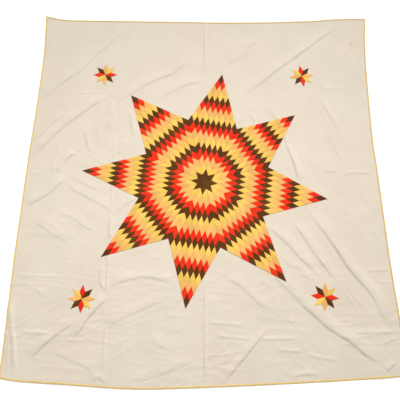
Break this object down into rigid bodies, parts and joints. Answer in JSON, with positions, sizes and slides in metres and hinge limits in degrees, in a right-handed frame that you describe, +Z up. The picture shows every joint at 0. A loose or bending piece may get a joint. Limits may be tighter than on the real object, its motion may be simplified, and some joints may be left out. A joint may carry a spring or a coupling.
{
  "type": "lone star quilt",
  "caption": "Flat patchwork quilt with one large eight-pointed star, a small star in each corner and a narrow binding, lying spread out with soft folds.",
  "frame": {"origin": "on the surface the quilt lies on, under the middle of the quilt", "axes": "+Z up out of the surface, +Y towards the far edge along the quilt's length, +X towards the right edge"},
  "size_m": [2.0105, 2.164, 0.009],
  "materials": {
    "field_cotton": "matt unbleached cotton, quilted",
    "binding_cotton": "matt golden yellow cotton",
    "patchwork_cotton": "matt cotton patches in red, brown, peach and yellow",
    "corner_star_cotton": "matt cotton patches in red, brown, peach and yellow"
  },
  "bodies": {
    "root": {"field": "field_cotton", "binding_far": "binding_cotton", "binding_right": "binding_cotton", "binding_near": "binding_cotton", "binding_left": "binding_cotton", "star_point_1": "patchwork_cotton", "star_point_2": "patchwork_cotton", "star_point_3": "patchwork_cotton", "star_point_4": "patchwork_cotton", "star_point_5": "patchwork_cotton", "star_point_6": "patchwork_cotton", "star_point_7": "patchwork_cotton", "star_point_8": "patchwork_cotton", "corner_star_far_left": "corner_star_cotton", "corner_star_far_right": "corner_star_cotton", "corner_star_near_right": "corner_star_cotton", "corner_star_near_left": "corner_star_cotton"}
  },
  "joints": []
}
